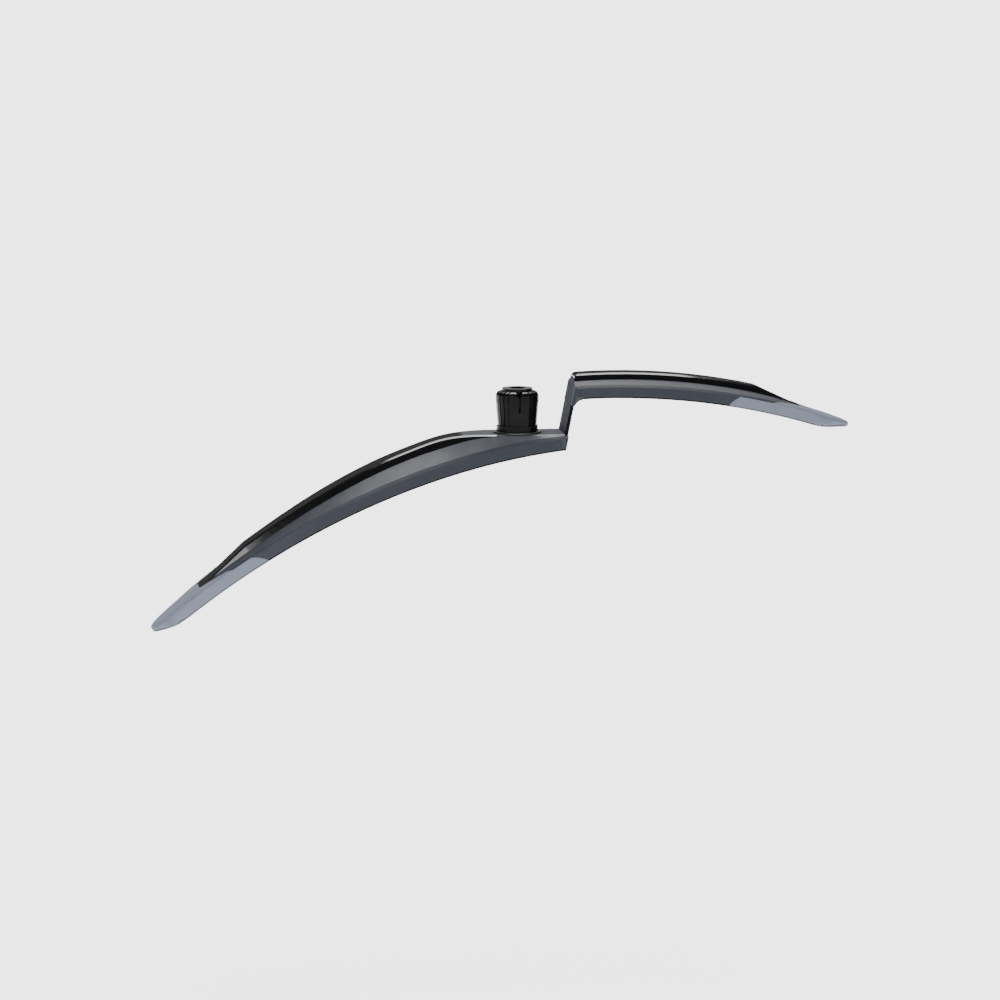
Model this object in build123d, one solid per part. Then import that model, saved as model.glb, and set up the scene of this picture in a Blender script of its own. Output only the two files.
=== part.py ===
"""Front mudguard for a mountain bike, held in the fork's steerer tube by an expander plug.

Frame: +X forward, +Z up along the plug's axis, origin on that axis at the seat under the fork crown.
The guard is symmetric about Y = 0, so the right-hand half of every cross-section is worked out and mirrored.
A station is the X of a point on a blade's edge line.
A rise is measured from that line along the arc's radius.
"""

from build123d import *
import os
from math import asin, atan, cos, degrees, pi, radians, sin, sqrt, tan

# Shell
WALL = 2.2
LIP_BEVEL = 1.0
EDGE_SOFTENING = 1.3
RIDGE_SOFTENING = 1.0

# Pad under the plug
PAD_HALF_WIDTH = 17.0
PAD_FLARE_LENGTH = 55.0
PAD_STEP = 0.7
SEAT_RECESS = 0.5
BOSS_RADIUS = 9.0
BOSS_HEIGHT = 2.0

# Rear blade
REAR_ARC_RADIUS = 484.0
REAR_ARC_AHEAD = 86.0
REAR_EDGE_DROP = 6.2
REAR_WALL_HEIGHT = 9.1
REAR_ROOT_HALF_WIDTH = 20.0
REAR_WIDEST_HALF_WIDTH = 28.0
REAR_WIDEST = -125.0
REAR_CORNER_HALF_WIDTH = 14.5
REAR_CORNER = -231.0
REAR_NOSE_HALF_WIDTH = 8.0
REAR_NOSE = -243.0
REAR_SHOULDER_RISE = 8.7
REAR_SHOULDER_PEAK = -50.0
REAR_RIDGE_HEIGHT = 5.3
REAR_RIDGE_TAIL_HEIGHT = 4.3
REAR_RIDGE_HALF_WIDTH = 10.2
REAR_RIDGE_TAIL_HALF_WIDTH = 9.7
REAR_RIDGE_BULGE = 1.8
REAR_RIDGE_KINK = -178.5
REAR_TONGUE_TAPER = -191.0
REAR_TONGUE_END = -211.0
REAR_TONGUE_END_HALF_WIDTH = 10.5
REAR_ARM_AT_LIP = -170.0
REAR_ARM_AT_EDGE = -181.0

# Front blade
FRONT_ARC_RADIUS = 437.5
FRONT_ARC_AHEAD = 64.0
FRONT_EDGE_CREST = 31.9
FRONT_WALL_HEIGHT = 8.4
FRONT_ROOT_HALF_WIDTH = 21.0
FRONT_WIDEST_HALF_WIDTH = 24.0
FRONT_WIDEST = 95.0
FRONT_CORNER_HALF_WIDTH = 13.5
FRONT_CORNER = 203.0
FRONT_NOSE_HALF_WIDTH = 5.5
FRONT_NOSE = 221.0
FRONT_SHOULDER_RISE = 2.5
FRONT_SHOULDER_PEAK = 150.0
FRONT_RIDGE_HEIGHT = 4.3
FRONT_RIDGE_TAIL_HEIGHT = 4.3
FRONT_RIDGE_HALF_WIDTH = 8.5
FRONT_RIDGE_TAIL_HALF_WIDTH = 7.2
FRONT_RIDGE_KINK = 156.0
FRONT_TONGUE_TAPER = 168.0
FRONT_TONGUE_END = 187.0
FRONT_TONGUE_END_HALF_WIDTH = 9.0
FRONT_ARM_AT_LIP = 137.5
FRONT_ARM_AT_EDGE = 148.0

# Shape shared by both blades
WALL_DRAFT = 1.7
RIDGE_SIDE_RUN = 0.5
SHOULDER_END_RISE = 0.5
TAPER_POWER = 2.4
NOSE_WALL_HEIGHT = 2.6
NOSE_ROUND = 6.0
NOSE_FLATS = 3
STATION_STEP = 19.0

# Riser between the blades
RISER_AHEAD = 29.8
RISER_LEAN_DEG = 11.3
RISER_HALF_WIDTH = 18.0
RISER_EDGE_BEVEL = 0.7
ROOT_CORNER_ROUND = 5.0
ROOT_TOP_ROUND = 3.0
ROOT_FLARE = 1.5
ROOT_FLARE_LENGTH = 3.0
GUSSET_RADIUS = 4.0

# Expander plug
FLANGE_RADIUS = 15.95
FLANGE_THICKNESS = 1.4
COLLAR_RADIUS = 13.7
COLLAR_HEIGHT = 3.8
BASE_SPIGOT_RADIUS = 6.0
SLEEVE_FOOT_RADIUS = 13.0
SLEEVE_LAND_RADIUS = 14.2
SLEEVE_HEIGHT = 23.0
LAND_LENGTH = 5.0
LAND_PROUD = 0.1
SHOULDER_ROUND = 2.6
SHOULDER_STEPS = 2
SLEEVE_PANELS = 24
SLEEVE_SPIGOT_RADIUS = 8.0
SLEEVE_SPIGOT_DEPTH = 3.0
SLEEVE_FLOOR = 4.0
SLEEVE_BORE_RADIUS = 9.2
MOUTH_RADIUS = 10.5
MOUTH_DEPTH = 3.4
TAPER_LENGTH = 3.2
TAPER_TOP_RADIUS = 10.2
SLIT_COUNT = 4
SLIT_WIDTH = 1.4
SLIT_DEPTH = 13.6
SLIT_MOUTH_WIDTH = 4.4
SLIT_MOUTH_DEPTH = 4.0
FLUTE_WIDTH = 1.0
FLUTE_DEPTH = 0.7
FLUTE_ANGLES_DEG = (30, 45, 60)

# Wedge, nut, screw and washer
WEDGE_DISC_THICKNESS = 1.6
WEDGE_PROUD = 1.8
WEDGE_LENGTH = 15.0
WEDGE_TRAVEL = 3.0
WEDGE_END_CLEARANCE = 0.8
WEDGE_KEY_LENGTH = 5.5
WEDGE_KEY_DEPTH = 6.6
WEDGE_KEY_REACH = 12.4
SCREW_RADIUS = 3.0
SCREW_HEAD_RADIUS = 5.0
SCREW_HEAD_HEIGHT = 4.0
SCREW_SOCKET_FLATS = 5.0
SCREW_SOCKET_DEPTH = 2.6
NUT_FLATS = 10.0
NUT_HEIGHT = 5.0
NUT_SEAT_DEPTH = 8.6
WASHER_RADIUS = 7.2
WASHER_THICKNESS = 1.2
RUNNING_CLEARANCE = 0.06
ASSEMBLY_CLEARANCE = 0.2

PAD_TOP = SEAT_RECESS - FLANGE_THICKNESS
REAR_CENTRE = Vector(
    REAR_ARC_AHEAD, 0, -REAR_EDGE_DROP - sqrt(REAR_ARC_RADIUS**2 - REAR_ARC_AHEAD**2)
)
FRONT_CENTRE = Vector(FRONT_ARC_AHEAD, 0, FRONT_EDGE_CREST - FRONT_ARC_RADIUS)
RISER_SLOPE = tan(radians(RISER_LEAN_DEG))
RISER_THICKNESS_X = WALL / cos(radians(RISER_LEAN_DEG))
BOSS_BOTTOM = PAD_TOP - WALL - BOSS_HEIGHT
SLEEVE_TOP = COLLAR_HEIGHT + SLEEVE_HEIGHT
TAPER_TOP = SLEEVE_TOP - MOUTH_DEPTH
WEDGE_TOP = SLEEVE_TOP + WEDGE_PROUD
NUT_BOTTOM = WEDGE_TOP - NUT_SEAT_DEPTH


def eased(share):
    """A smooth step from 0 to 1, flat at both ends."""
    share = min(max(share, 0), 1)
    return 0.5 - 0.5 * cos(pi * share)


def share_between(value, start, end):
    return min(max((value - start) / (end - start), 0), 1)


def blend(start, end, share):
    return start + (end - start) * share


def riser_x(z):
    """The rear face of the riser at a height."""
    return RISER_AHEAD + z * RISER_SLOPE


def on_arc(centre, radius, station, y, rise):
    """A point beside a blade's edge line."""
    lean = asin((station - centre.X) / radius)
    reach = radius + rise
    return Vector(centre.X + reach * sin(lean), y, centre.Z + reach * cos(lean))


def rear_point(station, y, rise):
    return on_arc(REAR_CENTRE, REAR_ARC_RADIUS, station, y, rise)


def front_point(station, y, rise):
    return on_arc(FRONT_CENTRE, FRONT_ARC_RADIUS, station, y, rise)


def edge_half_width(station, root, widest, corner):
    """Half-width of the edge line.

    root, widest and corner are pairs of a station and the half-width there.
    """
    if (station - widest[0]) * (corner[0] - widest[0]) < 0:
        return blend(widest[1], root[1], eased(share_between(station, widest[0], root[0])))
    past = share_between(station, widest[0], corner[0])
    return blend(widest[1], corner[1], past**TAPER_POWER)


def rear_edge_half_width(station):
    return edge_half_width(
        station,
        (RISER_AHEAD, REAR_ROOT_HALF_WIDTH),
        (REAR_WIDEST, REAR_WIDEST_HALF_WIDTH),
        (REAR_CORNER, REAR_CORNER_HALF_WIDTH),
    )


def front_edge_half_width(station):
    return edge_half_width(
        station,
        (riser_x(FRONT_EDGE_CREST), FRONT_ROOT_HALF_WIDTH),
        (FRONT_WIDEST, FRONT_WIDEST_HALF_WIDTH),
        (FRONT_CORNER, FRONT_CORNER_HALF_WIDTH),
    )


def pad_rise(station):
    """Rise of the flat pad above the rear edge line."""
    lean = asin((station - REAR_CENTRE.X) / REAR_ARC_RADIUS)
    return (PAD_TOP - REAR_CENTRE.Z) / cos(lean) - REAR_ARC_RADIUS


def rear_ridge(station):
    """Half-width and rise of the ridge's top edge, and rise of its shoulder, on the rear blade."""
    fade = eased(share_between(station, REAR_SHOULDER_PEAK, REAR_TONGUE_END))
    shoulder = min(
        blend(REAR_SHOULDER_RISE, SHOULDER_END_RISE, fade), pad_rise(station) - PAD_STEP
    )
    along = share_between(station, REAR_SHOULDER_PEAK, REAR_RIDGE_KINK)
    top = shoulder + blend(REAR_RIDGE_HEIGHT, REAR_RIDGE_TAIL_HEIGHT, along)
    half = blend(REAR_RIDGE_HALF_WIDTH, REAR_RIDGE_TAIL_HALF_WIDTH, along)
    half += REAR_RIDGE_BULGE * sin(pi * along)
    flare = cos(pi / 2 * share_between(station, 0, -PAD_FLARE_LENGTH)) ** 2
    return blend(half, PAD_HALF_WIDTH, flare), min(top, pad_rise(station)), shoulder


def front_ridge(station):
    """The same for the front blade, whose ridge follows its arc."""
    fade = eased(share_between(station, FRONT_SHOULDER_PEAK, FRONT_CORNER))
    shoulder = blend(FRONT_SHOULDER_RISE, SHOULDER_END_RISE, fade)
    along = share_between(station, FRONT_WIDEST, FRONT_RIDGE_KINK)
    top = shoulder + blend(FRONT_RIDGE_HEIGHT, FRONT_RIDGE_TAIL_HEIGHT, along)
    half = blend(FRONT_RIDGE_HALF_WIDTH, FRONT_RIDGE_TAIL_HALF_WIDTH, along)
    return half, top, shoulder


def base_half(edge, ridge, wall_height):
    """Half outline of the blade under its ridge: shoulder, edge and lip."""
    half, top, shoulder = ridge
    foot = min(half + RIDGE_SIDE_RUN * (top - shoulder), edge - WALL)
    return [(foot, shoulder), (edge, 0), (edge + WALL_DRAFT, -wall_height)]


def ridge_half(ridge, depth):
    """Half outline of the ridge: its top edge, and its side run on down into the blade."""
    half, top, shoulder = ridge
    return [(half, top), (half + RIDGE_SIDE_RUN * (top - shoulder + depth), shoulder - depth)]


def moved_in(half, wall):
    """A half outline moved inwards by a wall, or outwards where that is negative."""
    points = [(0, half[0][1]), *half]
    normals = []
    for (y0, rise0), (y1, rise1) in zip(points, points[1:]):
        length = sqrt((y1 - y0) ** 2 + (rise1 - rise0) ** 2)
        normals.append(((rise1 - rise0) / length, (y0 - y1) / length))
    moved = []
    for (y, rise), before, after in zip(half, normals, normals[1:]):
        scale = wall / (1 + before[0] * after[0] + before[1] * after[1])
        moved.append((y + (before[0] + after[0]) * scale, rise + (before[1] + after[1]) * scale))
    last = normals[-1]
    moved.append((half[-1][0] + last[0] * wall, half[-1][1] + last[1] * wall))
    return moved


def run_on(half, length):
    """A half outline whose last side is made longer."""
    (y0, rise0), (y1, rise1) = half[-2:]
    scale = length / sqrt((y1 - y0) ** 2 + (rise1 - rise0) ** 2)
    return [*half[:-1], (y1 + (y1 - y0) * scale, rise1 + (rise1 - rise0) * scale)]


def softened(half, index, size):
    """A half outline with one of its corners cut back along both sides."""
    y, rise = half[index]
    before = half[index - 1] if index else (0, rise)
    cut = []
    for near in (before, half[index + 1]):
        length = sqrt((near[0] - y) ** 2 + (near[1] - rise) ** 2)
        back = min(size, length / 3) / length
        cut.append((blend(y, near[0], back), blend(rise, near[1], back)))
    return [*half[:index], *cut, *half[index + 1 :]]


def lipped(half):
    """A half outline with the outside of its lip bevelled."""
    (y0, rise0), (y1, rise1) = half[-2:]
    back = LIP_BEVEL / sqrt((y1 - y0) ** 2 + (rise1 - rise0) ** 2)
    bevel_top = (blend(y1, y0, back), blend(rise1, rise0, back))
    return [*half[:-1], bevel_top, (y1 - LIP_BEVEL / 2, rise1)]


def section(point, station, half):
    """Closed outline across a blade."""
    right = [point(station, y, rise) for y, rise in half]
    left = [point(station, -y, rise) for y, rise in reversed(half)]
    return Wire.make_polygon(right + left, close=True)


def lofted(point, rows, ruled=False):
    """A solid through (station, half outline) rows."""
    return Solid.make_loft([section(point, station, half) for station, half in rows], ruled)


def stations(start, end):
    """Evenly spread stations, both ends included."""
    count = max(3, round(abs(end - start) / STATION_STEP))
    return [blend(start, end, i / count) for i in range(count + 1)]


def ridge_outside(ridge):
    return softened(ridge_half(ridge, WALL / 2), 0, RIDGE_SOFTENING)


def ridge_inside(ridge):
    return moved_in(ridge_half(ridge, 2 * WALL), WALL)


def base_outside(half):
    return softened(lipped(half), 1, EDGE_SOFTENING)


def base_inside(half):
    return run_on(moved_in(half, WALL), WALL)


def blade_solid(point, outline, ridge_at, marks, envelope, base_shape, ridge_shape):
    """A filled blade: its base and straight nose, and its ridge, which bends down and sinks into the base.

    marks are the stations of the loft's start, the ridge's bend, its end, the nose's corner and the nose.
    """
    start, kink, sunk, corner, nose = marks
    base = lofted(point, [(s, base_shape(outline(s))) for s in stations(start, corner)])
    reach = point(nose, 0, 0) - point(corner, 0, 0)
    end = extrude(Face(section(point, corner, base_shape(outline(corner)))), reach.length, dir=reach)
    ridge = lofted(point, [(s, ridge_shape(ridge_at(s))) for s in stations(start, kink)])
    deck = ridge_at(sunk)[2]
    low = (ridge_at(kink)[0], deck - WALL / 4, deck - WALL / 2)
    tail_rows = [(kink, ridge_shape(ridge_at(kink))), (sunk, ridge_shape(low))]
    return base + (end & envelope) + ridge + lofted(point, tail_rows, ruled=True)


def flat_face(path, radius):
    """A face inside a closed path, its corners rounded where a radius is given."""
    if radius:
        return Face(Wire(FilletPolyline(path, radius=radius, close=True).edges()))
    return Face(Wire.make_polygon(path, close=True))


def side_prism(points, half_width, radius=0):
    """A side outline in the XZ plane, run out to both sides of the centre plane."""
    face = flat_face([Vector(x, 0, z) for x, z in points], radius)
    return extrude(face, half_width, dir=(0, 1, 0), both=True)


def plan_prism(points, bottom, top, radius=0):
    """A plan outline run from one height to another."""
    face = flat_face([Vector(x, y, bottom) for x, y in points], radius)
    return extrude(face, top - bottom, dir=(0, 0, 1))


def leaning(solid):
    """A solid that stands upright at the origin, set on the riser's foot and leaned as the riser is."""
    return Pos(RISER_AHEAD, 0, 0) * Rot(0, RISER_LEAN_DEG, 0) * solid


def behind_riser(offset):
    """Everything behind the riser's rear face, moved forward by an offset."""
    low, high = REAR_CENTRE.Z, -REAR_CENTRE.Z
    points = [(riser_x(low) + offset, low), (riser_x(high) + offset, high)]
    far = REAR_NOSE * 2
    return side_prism([*points, (far, high), (far, low)], REAR_WIDEST_HALF_WIDTH * 2)


def nose_envelope(corner, corner_half_width, nose, nose_half_width, inset):
    """Plan outline that narrows a nose and turns its corners in a few flats, moved in by an inset."""
    end = blend(nose, corner, inset / abs(corner - nose))
    outer = nose_half_width + WALL_DRAFT - inset
    wide = corner_half_width + WALL_DRAFT + LIP_BEVEL - inset
    run = NOSE_ROUND / sqrt((corner - end) ** 2 + (wide - outer) ** 2)
    points = []
    for flat in range(NOSE_FLATS + 1):
        along = flat / NOSE_FLATS
        x = blend(end, corner, run * along**2)
        y = outer - NOSE_ROUND * (1 - along) ** 2 + (wide - outer) * run * along**2
        points.append((x, y))
    far = 20 * NOSE_ROUND
    points += [(corner, wide), (blend(end, corner, far), wide + far)]
    points += [(x, -y) for x, y in reversed(points)]
    return plan_prism(points, REAR_CENTRE.Z / 2, -REAR_CENTRE.Z / 2)


def nose_underside(point, corner, nose, wall_height):
    """The space under a line that draws the walls up towards the nose."""
    start = point(corner, 0, -wall_height)
    past = start + 3 * (point(nose, 0, -NOSE_WALL_HEIGHT) - start)
    down = 4 * (start - point(corner, 0, 0))
    around = [start, past, past + down, start + down]
    return side_prism([(place.X, place.Z) for place in around], 2 * REAR_WIDEST_HALF_WIDTH)


def soft_region(point, arm, tongue, tongue_end, edge_at, far_station, wall_height):
    """The space that a soft tip fills.

    It lies past a sloping cut on the side walls, but leaves out the hard tongue on the deck.
    arm holds the cut's stations at the lip and at the edge line.
    tongue holds the stations where the tongue starts to narrow and where it ends.
    """
    at_lip, at_edge = arm
    wide = edge_at(at_edge) + 4 * WALL
    lip = point(at_lip, 0, -wall_height - WALL)
    bend = point(blend(at_lip, at_edge, 0.42), 0, -wall_height / 2)
    edge = point(at_edge, 0, 0)
    cut = ThreePointArc(lip, bend, edge)
    around = [edge, point(at_edge, 0, 6 * wall_height)]
    around += [point(far_station, 0, 6 * wall_height), point(far_station, 0, -2 * wall_height), lip]
    past_cut = extrude(Face(Wire([cut, *Polyline(around).edges()])), wide, dir=(0, 1, 0), both=True)

    def slab(half_width):
        return [(half_width, 8 * WALL), (half_width, -2 * WALL)]

    rows = [(s, slab(edge_at(s))) for s in stations(blend(at_lip, at_edge, -1), tongue)]
    end_rows = [(tongue, slab(edge_at(tongue))), (tongue_end[0], slab(tongue_end[1]))]
    return past_cut - (lofted(point, rows) + lofted(point, end_rows, ruled=True))


def rear_outline(station):
    return base_half(rear_edge_half_width(station), rear_ridge(station), REAR_WALL_HEIGHT)


def front_outline(station):
    return base_half(front_edge_half_width(station), front_ridge(station), FRONT_WALL_HEIGHT)


def make_rear():
    """The rear blade's hard shell, closed at the riser, and its soft tip."""
    start = RISER_AHEAD + 2 * STATION_STEP
    marks = (start, REAR_RIDGE_KINK, REAR_TONGUE_END, REAR_CORNER, REAR_NOSE)
    plan = (REAR_CORNER, REAR_CORNER_HALF_WIDTH, REAR_NOSE, REAR_NOSE_HALF_WIDTH)
    ways = (rear_point, rear_outline, rear_ridge, marks)
    outer = blade_solid(*ways, nose_envelope(*plan, 0), base_outside, ridge_outside)
    outer -= nose_underside(rear_point, REAR_CORNER, REAR_NOSE, REAR_WALL_HEIGHT)
    hollow = blade_solid(*ways, nose_envelope(*plan, WALL), base_inside, ridge_inside)

    def flared(station, flare):
        edge = rear_edge_half_width(station) + flare
        return base_outside(base_half(edge, rear_ridge(station), REAR_WALL_HEIGHT))

    flare_start, flare_end = RISER_AHEAD - ROOT_FLARE_LENGTH, RISER_AHEAD + 2 * WALL
    flare_rows = [(flare_start, 0), (RISER_AHEAD, ROOT_FLARE), (flare_end, ROOT_FLARE)]
    flare = lofted(rear_point, [(s, flared(s, grow)) for s, grow in flare_rows], ruled=True)
    outer = (outer + flare) & behind_riser(RISER_THICKNESS_X)
    shell = outer - (hollow & behind_riser(0))
    region = soft_region(
        rear_point,
        (REAR_ARM_AT_LIP, REAR_ARM_AT_EDGE),
        REAR_TONGUE_TAPER,
        (REAR_TONGUE_END, REAR_TONGUE_END_HALF_WIDTH),
        rear_edge_half_width,
        REAR_NOSE - REAR_WALL_HEIGHT,
        REAR_WALL_HEIGHT,
    )
    return shell - region, shell & region


def root_envelope(inset):
    """The space in front of the riser's rear face, its upright corners rounded, less an inset all round."""
    half = FRONT_ROOT_HALF_WIDTH + WALL_DRAFT - inset
    length = FRONT_NOSE * 2
    points = [(inset, half), (length, half + length / 8), (length, -half - length / 8), (inset, -half)]
    radius = max(ROOT_CORNER_ROUND - inset, WALL / 4)
    return leaning(plan_prism(points, -FRONT_NOSE, FRONT_NOSE, radius))


def root_top():
    """Side outline that rounds the corner between the riser and the front ridge."""
    reach = FRONT_ARC_RADIUS + front_ridge(RISER_AHEAD)[1]
    z = FRONT_EDGE_CREST
    for _ in range(8):
        z = FRONT_CENTRE.Z + sqrt(reach**2 - (riser_x(z) - FRONT_CENTRE.X) ** 2)
    x = riser_x(z)
    slope = (FRONT_CENTRE.X - x) / (z - FRONT_CENTRE.Z)
    low, ahead = -3 * FRONT_EDGE_CREST, 2 * FRONT_NOSE
    points = [(riser_x(low), low), (x, z), (x + ahead, z + ahead * slope), (x + ahead, low)]
    return side_prism(points, 2 * FRONT_WIDEST_HALF_WIDTH, ROOT_TOP_ROUND)


def make_gusset():
    """Webs that run the front blade's side walls down onto the riser in a curve."""
    lip = front_point(riser_x(FRONT_EDGE_CREST), 0, -FRONT_WALL_HEIGHT).Z
    top = lip + WALL
    low = lip - GUSSET_RADIUS
    inner_x = riser_x(lip) + RISER_THICKNESS_X
    start = Vector(inner_x + GUSSET_RADIUS, 0, lip)
    end = Vector(riser_x(low) + RISER_THICKNESS_X, 0, low)
    near = GUSSET_RADIUS * (1 - sqrt(0.5))
    curve = ThreePointArc(start, Vector(inner_x + near, 0, lip - near), end)
    around = [end, (riser_x(low), 0, low), (riser_x(top), 0, top), (start.X, 0, top), start]
    face = Face(Wire([curve, *Polyline(around).edges()]))
    block = extrude(face, FRONT_WIDEST_HALF_WIDTH * 2, dir=(0, 1, 0), both=True)
    return (block & root_envelope(0)) - root_envelope(WALL)


def make_front():
    """The front blade's hard shell, closed at the riser, and its soft tip."""
    start = RISER_AHEAD - WALL
    marks = (start, FRONT_RIDGE_KINK, FRONT_TONGUE_END, FRONT_CORNER, FRONT_NOSE)
    plan = (FRONT_CORNER, FRONT_CORNER_HALF_WIDTH, FRONT_NOSE, FRONT_NOSE_HALF_WIDTH)
    ways = (front_point, front_outline, front_ridge, marks)
    outer = blade_solid(*ways, nose_envelope(*plan, 0), base_outside, ridge_outside)
    outer -= nose_underside(front_point, FRONT_CORNER, FRONT_NOSE, FRONT_WALL_HEIGHT)
    hollow = blade_solid(*ways, nose_envelope(*plan, WALL), base_inside, ridge_inside)
    outer = outer & root_envelope(0) & root_top()
    shell = outer - (hollow & root_envelope(WALL))
    region = soft_region(
        front_point,
        (FRONT_ARM_AT_LIP, FRONT_ARM_AT_EDGE),
        FRONT_TONGUE_TAPER,
        (FRONT_TONGUE_END, FRONT_TONGUE_END_HALF_WIDTH),
        front_edge_half_width,
        FRONT_NOSE + FRONT_WALL_HEIGHT,
        FRONT_WALL_HEIGHT,
    )
    return shell - region, shell & region


def turned(points):
    """A solid of revolution about the plug's axis from (radius, height) points."""
    outline = Wire.make_polygon([Vector(r, 0, z) for r, z in points], close=True)
    return revolve(Face(outline), Axis.Z)


def tube(radius, bottom, top):
    """A round bar on the plug's axis."""
    return Pos(0, 0, bottom) * Cylinder(radius, top - bottom, align=(Align.CENTER, Align.CENTER, Align.MIN))


def hexagon(flats, bottom, top):
    """A hexagon bar on the plug's axis."""
    return Pos(0, 0, bottom) * extrude(RegularPolygon(flats / 2, 6, major_radius=False), top - bottom)


def make_blade(rear_shell, front_shell):
    """The hard moulding: both shells, the riser, the gusset webs and the boss that takes the plug."""
    half, bevel = RISER_HALF_WIDTH, RISER_EDGE_BEVEL
    edge = [(0, half - bevel), (bevel, half), (WALL - bevel, half), (WALL, half - bevel)]
    edge += [(x, -y) for x, y in reversed(edge)]
    plate = leaning(plan_prism(edge, PAD_TOP - WALL, FRONT_EDGE_CREST))
    boss = tube(BOSS_RADIUS, BOSS_BOTTOM, PAD_TOP - WALL / 2)
    blade = rear_shell + plate + front_shell + make_gusset() + boss
    recess = tube(FLANGE_RADIUS + ASSEMBLY_CLEARANCE, -FLANGE_THICKNESS, COLLAR_HEIGHT)
    hole = tube(BASE_SPIGOT_RADIUS + ASSEMBLY_CLEARANCE, BOSS_BOTTOM - WALL, 0)
    return blade - recess - hole


def make_plug_base():
    """Seat flange and collar, with a spigot down into the blade and a socket for the sleeve's foot."""
    bore = SCREW_RADIUS + ASSEMBLY_CLEARANCE
    socket = SLEEVE_SPIGOT_RADIUS + ASSEMBLY_CLEARANCE
    socket_floor = COLLAR_HEIGHT - SLEEVE_SPIGOT_DEPTH - ASSEMBLY_CLEARANCE
    spigot_bottom = BOSS_BOTTOM + ASSEMBLY_CLEARANCE
    points = [
        (bore, spigot_bottom),
        (BASE_SPIGOT_RADIUS, spigot_bottom),
        (BASE_SPIGOT_RADIUS, -FLANGE_THICKNESS),
        (FLANGE_RADIUS, -FLANGE_THICKNESS),
        (FLANGE_RADIUS, 0),
        (COLLAR_RADIUS, 0),
        (COLLAR_RADIUS, COLLAR_HEIGHT),
        (socket, COLLAR_HEIGHT),
        (socket, socket_floor),
        (bore, socket_floor),
    ]
    return turned(points)


def sleeve_profile(inset):
    """(radius, height) points from the sleeve's foot over its shoulder, moved in by an inset."""
    land_top = SLEEVE_TOP - SHOULDER_ROUND
    foot = (SLEEVE_FOOT_RADIUS - inset, COLLAR_HEIGHT)
    points = [foot, (SLEEVE_LAND_RADIUS - inset, land_top - LAND_LENGTH)]
    for step in range(SHOULDER_STEPS + 1):
        turn = pi / 2 * step / SHOULDER_STEPS
        radius = SLEEVE_LAND_RADIUS - SHOULDER_ROUND + (SHOULDER_ROUND - inset) * cos(turn)
        points.append((radius, land_top + (SHOULDER_ROUND - inset) * sin(turn)))
    return points


def panelled(foot, head):
    """A block about the plug's axis between two (radius, height) points, with one side for each panel."""
    height = head[1] - foot[1]
    spread = atan((head[0] - foot[0]) * cos(pi / SLEEVE_PANELS) / height)
    outline = Pos(0, 0, foot[1]) * RegularPolygon(foot[0], SLEEVE_PANELS)
    return extrude(outline, height, taper=-degrees(spread))


def sleeve_slit():
    """One slit, opening out in a V at the sleeve's mouth."""
    half, mouth = SLIT_WIDTH / 2, SLIT_MOUTH_WIDTH / 2
    side = [(half, SLEEVE_TOP - SLIT_DEPTH), (half, SLEEVE_TOP - SLIT_MOUTH_DEPTH), (mouth, SLEEVE_TOP)]
    side.append((mouth, SLEEVE_TOP + SLIT_DEPTH))
    outline = side + [(-y, z) for y, z in reversed(side)]
    corners = [Vector(MOUTH_RADIUS / 2, y, z) for y, z in outline]
    return extrude(Face(Wire.make_polygon(corners, close=True)), 2 * SLEEVE_LAND_RADIUS, dir=(1, 0, 0))


def make_sleeve():
    """Expander sleeve: a tapered bore, slits that part it into fingers, and flutes between smooth panels."""
    bore = SCREW_RADIUS + ASSEMBLY_CLEARANCE
    foot = COLLAR_HEIGHT - SLEEVE_SPIGOT_DEPTH
    floor = COLLAR_HEIGHT + SLEEVE_FLOOR
    land_top = SLEEVE_TOP - SHOULDER_ROUND
    sleeve = tube(SLEEVE_LAND_RADIUS, land_top - LAND_LENGTH, land_top)
    sleeve += tube(SLEEVE_SPIGOT_RADIUS, foot, floor)
    outside = sleeve_profile(LAND_PROUD)
    for below, above in zip(outside, outside[1:]):
        sleeve += panelled(below, above)
    inside = [
        (0, foot - WALL),
        (bore, foot - WALL),
        (bore, floor),
        (SLEEVE_BORE_RADIUS, floor),
        (SLEEVE_BORE_RADIUS, TAPER_TOP - TAPER_LENGTH),
        (TAPER_TOP_RADIUS, TAPER_TOP),
        (MOUTH_RADIUS, TAPER_TOP),
        (MOUTH_RADIUS, SLEEVE_TOP + WALL),
        (0, SLEEVE_TOP + WALL),
    ]
    sleeve -= turned(inside)
    reach = 2 * SLEEVE_LAND_RADIUS
    profile = sleeve_profile(FLUTE_DEPTH)
    profile += [(MOUTH_RADIUS, profile[-1][1]), (MOUTH_RADIUS, reach)]
    profile += [(reach, reach), (reach, COLLAR_HEIGHT)]
    flute = side_prism(profile, FLUTE_WIDTH / 2)
    slit = sleeve_slit()
    for turn in range(SLIT_COUNT):
        start = turn * 360 / SLIT_COUNT
        sleeve -= Rot(0, 0, start) * slit
        for angle in FLUTE_ANGLES_DEG:
            sleeve -= Rot(0, 0, start + angle) * flute
    return sleeve


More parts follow.
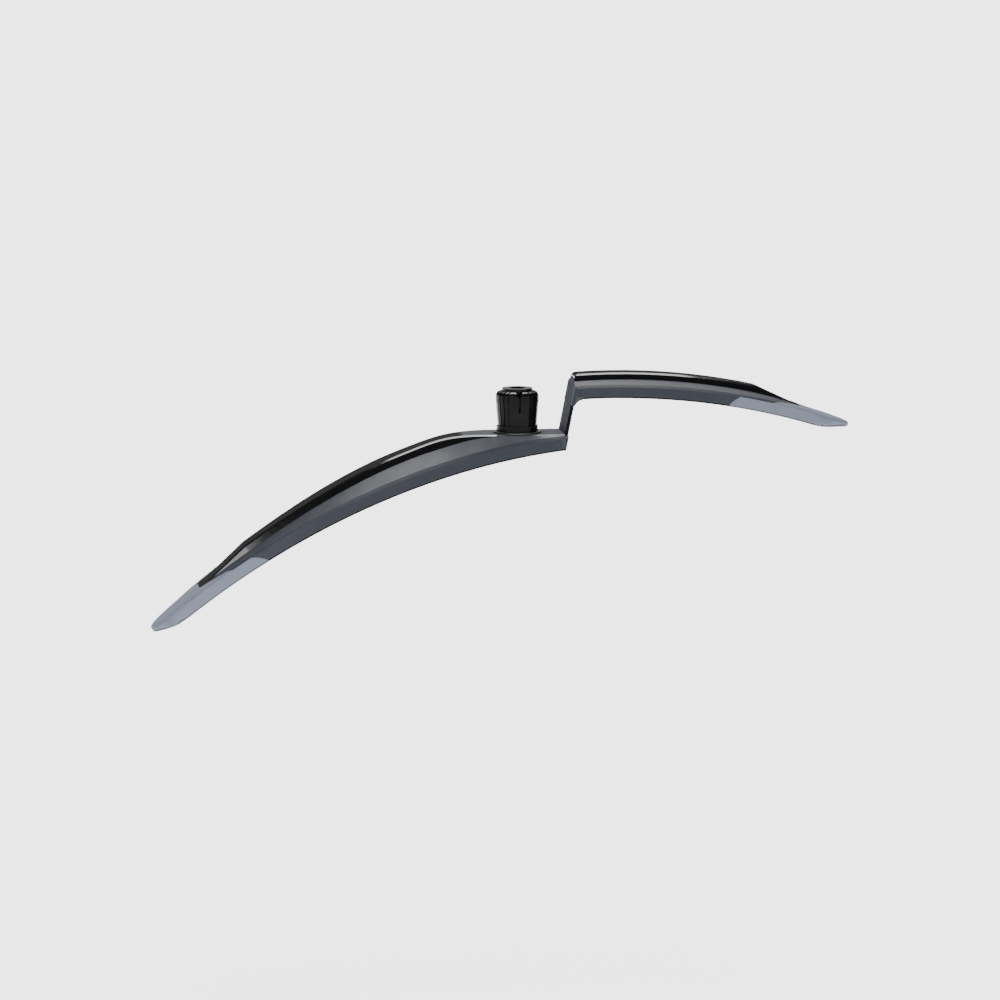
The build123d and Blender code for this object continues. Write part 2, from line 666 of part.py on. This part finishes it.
def make_wedge():
    """Tapered wedge with a flat top, a nut pocket, and keys on its pilot that ride in the sleeve's slits."""
    bore = SCREW_RADIUS + ASSEMBLY_CLEARANCE
    slope = (TAPER_TOP_RADIUS - SLEEVE_BORE_RADIUS) / TAPER_LENGTH
    under_disc = WEDGE_TOP - WEDGE_DISC_THICKNESS
    drawn_down = WEDGE_TRAVEL + WEDGE_END_CLEARANCE
    flank_top = TAPER_TOP_RADIUS + (under_disc - TAPER_TOP - drawn_down) * slope
    pilot = SLEEVE_BORE_RADIUS - ASSEMBLY_CLEARANCE
    points = [
        (bore, under_disc - WEDGE_LENGTH),
        (pilot, under_disc - WEDGE_LENGTH),
        (pilot, under_disc - (flank_top - pilot) / slope),
        (flank_top, under_disc),
        (flank_top, WEDGE_TOP),
        (bore, WEDGE_TOP),
    ]
    wedge = turned(points)
    key_top = WEDGE_TOP - WEDGE_KEY_DEPTH
    inner = (pilot + bore) / 2
    key_points = [(inner, key_top - WEDGE_KEY_LENGTH), (WEDGE_KEY_REACH, key_top - WEDGE_KEY_LENGTH)]
    key_points += [(WEDGE_KEY_REACH, key_top), (inner, key_top)]
    key = side_prism(key_points, SLIT_WIDTH / 2 - ASSEMBLY_CLEARANCE)
    for turn in range(SLIT_COUNT):
        wedge += Rot(0, 0, turn * 360 / SLIT_COUNT) * key
    pocket = hexagon(NUT_FLATS + ASSEMBLY_CLEARANCE, NUT_BOTTOM, WEDGE_TOP + WALL)
    return wedge - pocket - tube(bore, under_disc - 2 * WEDGE_LENGTH, WEDGE_TOP)


def make_nut():
    """Hexagon nut that the screw draws down."""
    bore = tube(SCREW_RADIUS + RUNNING_CLEARANCE, NUT_BOTTOM - NUT_HEIGHT, NUT_BOTTOM + 2 * NUT_HEIGHT)
    return hexagon(NUT_FLATS, NUT_BOTTOM, NUT_BOTTOM + NUT_HEIGHT) - bore


def make_washer():
    bore = SCREW_RADIUS + ASSEMBLY_CLEARANCE
    ring = tube(WASHER_RADIUS, BOSS_BOTTOM - WASHER_THICKNESS, BOSS_BOTTOM)
    return ring - tube(bore, BOSS_BOTTOM - 2 * WASHER_THICKNESS, BOSS_BOTTOM + WASHER_THICKNESS)


def make_screw():
    """Hex-socket screw whose head bears on the washer and whose end stands level with the nut."""
    head_top = BOSS_BOTTOM - WASHER_THICKNESS
    head_bottom = head_top - SCREW_HEAD_HEIGHT
    end = NUT_BOTTOM + NUT_HEIGHT
    head = tube(SCREW_HEAD_RADIUS, head_bottom, head_top)
    shank = tube(SCREW_RADIUS, head_top, end)
    socket = hexagon(SCREW_SOCKET_FLATS, head_bottom, head_bottom + SCREW_SOCKET_DEPTH)
    return head + shank - socket


def main():
    rear_shell, rear_tip = make_rear()
    front_shell, front_tip = make_front()
    pieces = {
        "blade": make_blade(rear_shell, front_shell),
        "rear_tip": rear_tip,
        "front_tip": front_tip,
        "plug_base": make_plug_base(),
        "expander_sleeve": make_sleeve(),
        "expander_wedge": make_wedge(),
        "wedge_nut": make_nut(),
        "clamp_screw": make_screw(),
        "screw_washer": make_washer(),
    }
    os.makedirs("parts", exist_ok=True)
    for name, piece in pieces.items():
        export_step(piece, f"parts/{name}.step")


if __name__ == "__main__":
    main()
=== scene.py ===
"""Studio scene for the mudguard: finishes, rounded tips, a pale floor, soft lights and a camera.

Lengths are in metres in the CAD frame: +X forward, +Z up along the plug's axis.
"""

import math
from collections import namedtuple

import bmesh
import bpy
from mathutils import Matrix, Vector


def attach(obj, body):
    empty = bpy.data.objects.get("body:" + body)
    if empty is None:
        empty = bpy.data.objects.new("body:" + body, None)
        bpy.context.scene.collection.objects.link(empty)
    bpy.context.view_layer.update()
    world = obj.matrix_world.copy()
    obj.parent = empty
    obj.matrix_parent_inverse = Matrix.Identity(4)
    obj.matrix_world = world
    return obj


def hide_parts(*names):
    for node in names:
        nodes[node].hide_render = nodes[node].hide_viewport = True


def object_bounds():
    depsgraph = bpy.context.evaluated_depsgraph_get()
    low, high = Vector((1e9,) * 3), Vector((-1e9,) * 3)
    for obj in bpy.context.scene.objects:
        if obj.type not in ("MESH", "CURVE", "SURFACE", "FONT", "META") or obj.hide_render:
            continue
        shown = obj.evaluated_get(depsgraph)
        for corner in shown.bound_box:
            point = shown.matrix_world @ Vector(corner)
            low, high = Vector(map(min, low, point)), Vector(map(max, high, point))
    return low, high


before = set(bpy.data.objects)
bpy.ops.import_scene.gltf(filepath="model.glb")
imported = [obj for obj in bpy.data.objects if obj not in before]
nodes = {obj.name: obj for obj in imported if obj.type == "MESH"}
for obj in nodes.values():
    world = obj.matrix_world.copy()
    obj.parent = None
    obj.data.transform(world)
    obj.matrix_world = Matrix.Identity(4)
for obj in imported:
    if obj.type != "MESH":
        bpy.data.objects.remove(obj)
cad_box = [list(corner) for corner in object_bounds()]

# Camera: turned a little to the guard's rear and above it, far off behind a long lens.
AZIMUTH_DEG = -6.5
ELEVATION_DEG = 7.5
DISTANCE = 5.5
SENSOR_WIDTH_MM = 36
METRES_PER_PIXEL = 0.00066
IMAGE_SIDE = 1000
SEAT_PIXEL = (517.2, 430.7)

# Floor: far enough down to keep the guard's shadow out of the photo's frame.
FLOOR_DROP = 0.26
FLOOR_HALF_SIDE = 60
FLOOR_COLOUR = (0.92, 0.92, 0.92)
FLOOR_ROUGHNESS = 0.9
FLOOR_GLOW = 2.0

# Light: each soft box's name, direction, width in degrees and power, and a faint cool sky.
SOFT_BOXES = (
    ("overhead", (-0.03, 0.36, 0.93), 34, 3.4),
    ("overhead_near", (-0.07, -0.36, 0.93), 28, 1.3),
    ("overhead_far", (0.14, 0.6, 0.79), 28, 1.0),
    ("rear_fill", (-0.59, -0.675, 0.44), 16, 0.5),
)
SKY_COLOUR = (0.95, 0.97, 1)
SKY_STRENGTH = 0.1

# Colours of the finishes.
GLOSS_BLACK = (0.003, 0.003, 0.0035)
MATT_GREY = (0.0225, 0.0258, 0.0350)
# Painted shade: the lip bevels under the walls and the riser plate's narrow sides are near black
# for the shade that falls on them.
LIP_PAINTED_SHADE = (0.002, 0.002, 0.0022)
TONGUE_BLACK = (0.008, 0.008, 0.009)
SOFT_GREY = (0.128, 0.146, 0.190)
# Painted shade: the soft tips' lip bevels are darker than their skin for the shade that falls
# under them.
SOFT_LIP_PAINTED_SHADE = (0.022, 0.024, 0.031)
PLUG_BLACK = (0.004, 0.004, 0.0045)
STEEL = (0.58, 0.58, 0.58)

# Moulded surfaces: noise scales of the colour clouds, the patches of roughness and the grain, the
# darkest and lightest tone of the clouds, and how deep and strong the grain is.
Moulding = namedtuple("Moulding", "clouds tones patches grain depth strength")
MATT = Moulding(clouds=35, tones=(0.92, 1.08), patches=120, grain=2600, depth=8e-5, strength=0.35)
SOFT = Moulding(clouds=60, tones=(0.94, 1.05), patches=90, grain=3200, depth=6e-5, strength=0.3)
NYLON = Moulding(clouds=140, tones=(0.8, 1.3), patches=220, grain=1800, depth=5e-5, strength=0.25)
GRAIN_DETAIL = 2
NOISE_RANGE = (0.3, 0.7)

# Roughness from the smoothest to the roughest patch, and the shader's usual shine.
MATT_ROUGHNESS = (0.42, 0.5)
MATT_ROUGHNESS_MEAN = 0.46
RISER_ROUGHNESS = (0.76, 0.84)
SOFT_ROUGHNESS = (0.52, 0.62)
GLOSS_ROUGHNESS = (0.09, 0.14)
STEEL_ROUGHNESS = (0.22, 0.36)
USUAL_SHINE = 0.5

# Gloss: it has slight waves, and towards the plug it fades out at these places along X.
GLOSS_PATCHES = 160
GLOSS_WAVES = 420
GLOSS_WAVE_DETAIL = 1
GLOSS_WAVE_DEPTH = 4e-5
GLOSS_WAVE_STRENGTH = 0.02
DECK_GLOSS_END = -0.038
SIDE_GLOSS_END = -0.013
GLOSS_FADE = 0.002

# Steel: turning marks, fine along the axis and long across it.
TURNING_SCALE = (60, 60, 2400)
TURNING_DETAIL = 4
TURNING_TONES = (0.9, 1.1)
TURNING_DEPTH = 3e-5
TURNING_STRENGTH = 0.3

# Sockets of the Mix node that carry colours.
MIX_COLOURS_IN = (6, 7)
MIX_COLOUR_OUT = 2

# Faces of the blade and the plug, told by parts of their normals, by where they lie and by how
# far they reach from the middle plane.
LIP_DOWN = -0.15
LIP_SIDEWAYS = 0.3
RISER_BACKWARD = -0.9
RISER_EDGE_X = (0.0295, 0.041)
RISER_EDGE_Z = (-0.009, 0.0235)
RISER_EDGE_SIDEWAYS = 0.66
RIDGE_UPWARD = 0.25
RIDGE_SIDE_SIDEWAYS = 0.3
REAR_RIDGE_REACH = 0.018
FRONT_RIDGE_REACH = 0.0125
FRONT_RIDGE_X = 0.035
FRONT_TONGUE_X = 0.165
PLUG_TOP_UPWARD = 0.5
FLANGE_RIM = 0.0155

# Noses of the tips: beyond a cut they are remeshed and then smoothed. Each row of passes says how
# far beyond the cut it starts, so the end is smoothed the most.
NOSE_CUTS = {"rear_tip": -0.219, "front_tip": 0.1955}
NOSE_VOXEL = 0.0005
NOSE_PASSES = ((0.0008, 4), (0.002, 6), (0.0035, 20))
NOSE_SMOOTHING = 0.5
WELD = 0.00002
CUT_TOLERANCE = 1e-7


class Shader:
    """A new material's node tree, with short names for what the finishes need."""

    def __init__(self, name):
        self.material = bpy.data.materials.new(name)
        self.material.use_nodes = True
        self.nodes = self.material.node_tree.nodes
        self.links = self.material.node_tree.links
        self.surface = self.nodes["Principled BSDF"]
        self.place = self.nodes.new("ShaderNodeTexCoord").outputs["Object"]

    def set(self, **values):
        """Set the surface's own sockets, with _ for a space in a name."""
        for name, value in values.items():
            self.surface.inputs[name.replace("_", " ")].default_value = value

    def drive(self, name, socket):
        """Link a value to one of the surface's sockets."""
        self.links.new(socket, self.surface.inputs[name])

    def feed(self, socket, value):
        """Link or set a node's socket."""
        if isinstance(value, bpy.types.NodeSocket):
            self.links.new(value, socket)
        else:
            socket.default_value = value

    def node(self, kind, inputs, **settings):
        """A new node with its settings and its inputs."""
        node = self.nodes.new(kind)
        for name, value in settings.items():
            setattr(node, name, value)
        for name, value in inputs.items():
            self.feed(node.inputs[name], value)
        return node

    def noise(self, scale, detail=3.0, place=None):
        """A noise value over the piece, or over another place."""
        inputs = {"Vector": place or self.place, "Scale": scale, "Detail": detail}
        return self.node("ShaderNodeTexNoise", inputs).outputs["Fac"]

    def ranged(self, value, source, target):
        """A value carried over from one range to another."""
        inputs = {"Value": value, "From Min": source[0], "From Max": source[1]}
        inputs.update({"To Min": target[0], "To Max": target[1]})
        return self.node("ShaderNodeMapRange", inputs).outputs["Result"]

    def spread(self, noise, target):
        """A noise value's middle range spread over another range."""
        return self.ranged(noise, NOISE_RANGE, target)

    def mixed(self, share, colours):
        """Two colours mixed."""
        node = self.node("ShaderNodeMix", {"Factor": share}, data_type="RGBA")
        for index, colour in zip(MIX_COLOURS_IN, colours):
            node.inputs[index].default_value = (*colour, 1)
        return node.outputs[MIX_COLOUR_OUT]

    def bump(self, height, depth, strength):
        """Small relief on the surface."""
        inputs = {"Height": height, "Distance": depth, "Strength": strength}
        self.drive("Normal", self.node("ShaderNodeBump", inputs).outputs["Normal"])


def toned(colour, tones):
    """Two tones of a colour."""
    return [[channel * tone for channel in colour] for tone in tones]


def moulded(name, moulding, colour, roughness, shine=USUAL_SHINE):
    """Moulded plastic or rubber with faint flow marks and a fine grain."""
    shader = Shader(name)
    cloud = shader.spread(shader.noise(moulding.clouds), (0, 1))
    shader.drive("Base Color", shader.mixed(cloud, toned(colour, moulding.tones)))
    shader.drive("Roughness", shader.spread(shader.noise(moulding.patches), roughness))
    grain = shader.noise(moulding.grain, GRAIN_DETAIL)
    shader.bump(grain, moulding.depth, moulding.strength)
    shader.set(Specular_IOR_Level=shine)
    return shader.material


def gloss_plastic(name):
    """Polished black plastic with slight waves."""
    shader = Shader(name)
    shader.set(Base_Color=(*GLOSS_BLACK, 1))
    shader.drive("Roughness", shader.spread(shader.noise(GLOSS_PATCHES), GLOSS_ROUGHNESS))
    waves = shader.noise(GLOSS_WAVES, GLOSS_WAVE_DETAIL)
    shader.bump(waves, GLOSS_WAVE_DEPTH, GLOSS_WAVE_STRENGTH)
    return shader.material


def fading_gloss(name, end_x):
    """Polished black plastic that runs out into the matt grain ahead of end_x."""
    shader = Shader(name)
    along = shader.node("ShaderNodeSeparateXYZ", {"Vector": shader.place}).outputs["X"]
    matt = shader.ranged(along, (end_x - GLOSS_FADE, end_x + GLOSS_FADE), (0, 1))
    shader.drive("Base Color", shader.mixed(matt, (GLOSS_BLACK, MATT_GREY)))
    gloss = shader.spread(shader.noise(GLOSS_PATCHES), GLOSS_ROUGHNESS)
    shader.drive("Roughness", shader.ranged(matt, (0, 1), (gloss, MATT_ROUGHNESS_MEAN)))
    factors = {0: shader.noise(MATT.grain, GRAIN_DETAIL), 1: matt}
    grain = shader.node("ShaderNodeMath", factors, operation="MULTIPLY")
    shader.bump(grain.outputs["Value"], MATT.depth, MATT.strength)
    return shader.material


def plated_steel():
    """Zinc-plated steel with turning marks round the plug's axis."""
    shader = Shader("plated_steel")
    shader.set(Metallic=1.0)
    stretch = shader.node("ShaderNodeMapping", {"Vector": shader.place, "Scale": TURNING_SCALE})
    marks = shader.noise(scale=1, detail=TURNING_DETAIL, place=stretch.outputs["Vector"])
    tones = toned(STEEL, TURNING_TONES)
    shader.drive("Base Color", shader.mixed(shader.spread(marks, (0, 1)), tones))
    shader.drive("Roughness", shader.spread(marks, STEEL_ROUGHNESS))
    shader.bump(marks, TURNING_DEPTH, TURNING_STRENGTH)
    return shader.material


def face_groups(mesh):
    """Polygons joined by shared vertices. Each group is one face of the CAD solid."""
    owner = list(range(len(mesh.vertices)))

    def root(index):
        while owner[index] != index:
            owner[index] = owner[owner[index]]
            index = owner[index]
        return index

    for polygon in mesh.polygons:
        first = root(polygon.vertices[0])
        for vertex in polygon.vertices[1:]:
            owner[root(vertex)] = first
    groups = {}
    for polygon in mesh.polygons:
        groups.setdefault(root(polygon.vertices[0]), []).append(polygon)
    return groups.values()


def facing(group):
    """Mean normal and middle of a face."""
    area = sum(polygon.area for polygon in group)
    normal = sum((polygon.normal * polygon.area for polygon in group), Vector())
    centre = sum((polygon.center * polygon.area for polygon in group), Vector())
    return normal.normalized(), centre / area


def within(value, limits):
    """True for a value between two limits."""
    return limits[0] < value < limits[1]


def on_lip(normal, centre):
    """True for the bevel under a side wall, which faces outwards and down."""
    outwards = normal.y * centre.y > 0 and abs(normal.y) > LIP_SIDEWAYS
    return outwards and normal.z < LIP_DOWN


def on_riser_edge(normal, centre):
    """True for the riser plate's narrow sides, which carry on the lip's painted shade."""
    beside = within(centre.x, RISER_EDGE_X) and within(centre.z, RISER_EDGE_Z)
    return beside and abs(normal.y) > RISER_EDGE_SIDEWAYS


def blade_finish(group):
    """Name of the finish that a face of the blade has."""
    normal, centre = facing(group)
    reach = max(abs(polygon.center.y) for polygon in group)
    if normal.x < RISER_BACKWARD:
        return "riser"
    # Lip bevels and the riser plate's narrow sides take the painted shade of the lip finish.
    if on_lip(normal, centre) or on_riser_edge(normal, centre):
        return "lip"
    if normal.z < RIDGE_UPWARD or reach > REAR_RIDGE_REACH:
        return "matt"
    if centre.x > FRONT_RIDGE_X and reach < FRONT_RIDGE_REACH:
        return "tongue" if centre.x > FRONT_TONGUE_X else "front_ridge"
    if centre.x > 0:
        return "matt"
    return "deck" if abs(normal.y) < RIDGE_SIDE_SIDEWAYS else "ridge_side"


def skin_or_lip(normal, centre):
    """Name of the finish that a place on a tip has."""
    return "lip" if on_lip(normal, centre) else "skin"


def tip_finish(group):
    """Name of the finish that a face of a tip has."""
    return skin_or_lip(*facing(group))


def plug_finish(group):
    """Name of the finish that a face of the plug has. The flange's rim counts as a top."""
    radius = min(polygon.center.xy.length for polygon in group)
    upward = facing(group)[0].z > PLUG_TOP_UPWARD
    return "top" if upward or radius > FLANGE_RIM else "side"


def dress(name, finishes, finish_of):
    """Give each CAD face of a node the finish that a rule names for it."""
    mesh = nodes[name].data
    mesh.materials.clear()
    for material in finishes.values():
        mesh.materials.append(material)
    for group in face_groups(mesh):
        index = list(finishes).index(finish_of(group))
        for polygon in group:
            polygon.material_index = index


def dress_all_over(name, material):
    """Give a whole node one finish."""
    mesh = nodes[name].data
    mesh.materials.clear()
    mesh.materials.append(material)


def add_object(name, data):
    """A new object in the scene."""
    added = bpy.data.objects.new(name, data)
    bpy.context.scene.collection.objects.link(added)
    return added


def even_skin(mesh):
    """The same closed form as one even mesh of small squares."""
    welded = mesh.copy()
    form = bmesh.new()
    form.from_mesh(welded)
    bmesh.ops.remove_doubles(form, verts=form.verts, dist=WELD)
    form.to_mesh(welded)
    form.free()
    rough = add_object("rough_form", welded)
    remesh = rough.modifiers.new("even_skin", "REMESH")
    remesh.mode = "VOXEL"
    remesh.voxel_size = NOSE_VOXEL
    evaluated = rough.evaluated_get(bpy.context.evaluated_depsgraph_get())
    even = bpy.data.meshes.new_from_object(evaluated)
    bpy.data.objects.remove(rough)
    bpy.data.meshes.remove(welded)
    return even


def cut_across(form, x, outward, keep_nose):
    """Cut a bmesh across at x and keep its nose or the rest."""
    bmesh.ops.bisect_plane(
        form,
        geom=form.verts[:] + form.edges[:] + form.faces[:],
        dist=CUT_TOLERANCE,
        plane_co=(x, 0, 0),
        plane_no=(outward, 0, 0),
        clear_inner=keep_nose,
        clear_outer=not keep_nose,
    )


def smooth_nose(mesh, cut_x, outward, finishes):
    """Mesh of the part of a tip beyond its cut, with its facets smoothed away."""
    even = even_skin(mesh)
    nose = bmesh.new()
    nose.from_mesh(even)
    cut_across(nose, cut_x, outward, keep_nose=True)
    every_way = {"use_axis_x": True, "use_axis_y": True, "use_axis_z": True}
    for start, passes in NOSE_PASSES:
        moved = [vertex for vertex in nose.verts if (vertex.co.x - cut_x) * outward > start]
        for _ in range(passes):
            bmesh.ops.smooth_vert(nose, verts=moved, factor=NOSE_SMOOTHING, **every_way)
    nose.normal_update()
    for face in nose.faces:
        face.smooth = True
        # Lip faces of the rounded nose take the tips' painted shade.
        finish = skin_or_lip(face.normal, face.calc_center_median())
        face.material_index = list(finishes).index(finish)
    nose.to_mesh(even)
    nose.free()
    return even


def round_nose(name, cut_x, finishes):
    """Put a copy with a rounded nose in the place of a tip, whose own nose is faceted."""
    outward = math.copysign(1, cut_x)
    nose = smooth_nose(nodes[name].data, cut_x, outward, finishes)
    mesh = nodes[name].data.copy()
    form = bmesh.new()
    form.from_mesh(mesh)
    cut_across(form, cut_x, outward, keep_nose=False)
    form.from_mesh(nose)
    bpy.data.meshes.remove(nose)
    form.to_mesh(mesh)
    form.free()
    tip = add_object(name + "_rounded", mesh)
    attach(tip, "guard")
    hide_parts(name)


def add_camera():
    """The photo's camera, which has the plug's seat at its pixel in the photo."""
    azimuth, elevation = math.radians(AZIMUTH_DEG), math.radians(ELEVATION_DEG)
    level = Vector((math.sin(azimuth), -math.cos(azimuth), 0))
    back = level * math.cos(elevation) + Vector((0, 0, math.sin(elevation)))
    right = Vector((math.cos(azimuth), math.sin(azimuth), 0))
    up = back.cross(right)
    off_right = (SEAT_PIXEL[0] - IMAGE_SIDE / 2) * METRES_PER_PIXEL
    off_up = (IMAGE_SIDE / 2 - SEAT_PIXEL[1]) * METRES_PER_PIXEL
    target = -right * off_right - up * off_up
    data = bpy.data.cameras.new("camera")
    data.sensor_width = SENSOR_WIDTH_MM
    data.lens = SENSOR_WIDTH_MM * DISTANCE / (METRES_PER_PIXEL * IMAGE_SIDE)
    data.clip_end = 3 * FLOOR_HALF_SIDE
    camera = add_object("camera", data)
    camera.location = target + back * DISTANCE
    camera.rotation_euler = (-back).to_track_quat("-Z", "Y").to_euler()
    bpy.context.scene.camera = camera


def add_soft_box(name, direction, width_deg, power):
    """A far, round soft box that lights the whole floor evenly."""
    data = bpy.data.lights.new(name, "SUN")
    data.energy = power
    data.angle = math.radians(width_deg)
    light = add_object(name, data)
    light.rotation_euler = Vector(direction).to_track_quat("Z", "Y").to_euler()


def add_floor(height):
    """A wide, pale floor that glows, so that it stays as even as the photo's background."""
    side = FLOOR_HALF_SIDE
    plan = ((-side, -side), (side, -side), (side, side), (-side, side))
    mesh = bpy.data.meshes.new("floor")
    mesh.from_pydata([(x, y, height) for x, y in plan], [], [(0, 1, 2, 3)])
    floor = add_object("floor", mesh)
    shader = Shader("floor")
    shader.set(Base_Color=(*FLOOR_COLOUR, 1), Roughness=FLOOR_ROUGHNESS, Specular_IOR_Level=0.0)
    shader.set(Emission_Color=(1, 1, 1, 1), Emission_Strength=FLOOR_GLOW)
    mesh.materials.append(shader.material)


def add_sky():
    """A faint light from all round."""
    world = bpy.data.worlds.new("studio")
    world.use_nodes = True
    background = world.node_tree.nodes["Background"]
    background.inputs["Color"].default_value = (*SKY_COLOUR, 1)
    background.inputs["Strength"].default_value = SKY_STRENGTH
    bpy.context.scene.world = world


blade_finishes = {
    "matt": moulded("blade_matt", MATT, MATT_GREY, MATT_ROUGHNESS, shine=0.35),
    "riser": moulded("blade_riser", MATT, MATT_GREY, RISER_ROUGHNESS, shine=0.1),
    # The lip finish is painted shade: the matt plastic made near black.
    "lip": moulded("blade_lip_painted_shade", MATT, LIP_PAINTED_SHADE, MATT_ROUGHNESS, shine=0.05),
    "deck": fading_gloss("blade_deck", DECK_GLOSS_END),
    "ridge_side": fading_gloss("blade_ridge_side", SIDE_GLOSS_END),
    "front_ridge": gloss_plastic("blade_front_ridge"),
    "tongue": moulded("blade_front_tongue", MATT, TONGUE_BLACK, MATT_ROUGHNESS, shine=0.0),
}
dress("blade", blade_finishes, blade_finish)

tip_finishes = {
    "skin": moulded("soft_tip_skin", SOFT, SOFT_GREY, SOFT_ROUGHNESS),
    # The tips' lip finish is painted shade: the soft grey made darker.
    "lip": moulded("soft_tip_lip_painted_shade", SOFT, SOFT_LIP_PAINTED_SHADE, SOFT_ROUGHNESS),
}
for name, cut_x in NOSE_CUTS.items():
    dress(name, tip_finishes, tip_finish)
    round_nose(name, cut_x, tip_finishes)

plug_side = moulded("plug_nylon", NYLON, PLUG_BLACK, roughness=(0.2, 0.3), shine=0.06)
sleeve_top = moulded("plug_nylon_top", NYLON, PLUG_BLACK, roughness=(0.35, 0.5), shine=0.5)
end_top = moulded("plug_nylon_ends", NYLON, PLUG_BLACK, roughness=(0.5, 0.65), shine=1.0)
dress("expander_sleeve", {"side": plug_side, "top": sleeve_top}, plug_finish)
for name in ("plug_base", "expander_wedge"):
    dress(name, {"side": plug_side, "top": end_top}, plug_finish)

steel = plated_steel()
for name in ("wedge_nut", "clamp_screw", "screw_washer"):
    dress_all_over(name, steel)

add_camera()
add_floor(cad_box[0][2] - FLOOR_DROP)
for soft_box in SOFT_BOXES:
    add_soft_box(*soft_box)
add_sky()
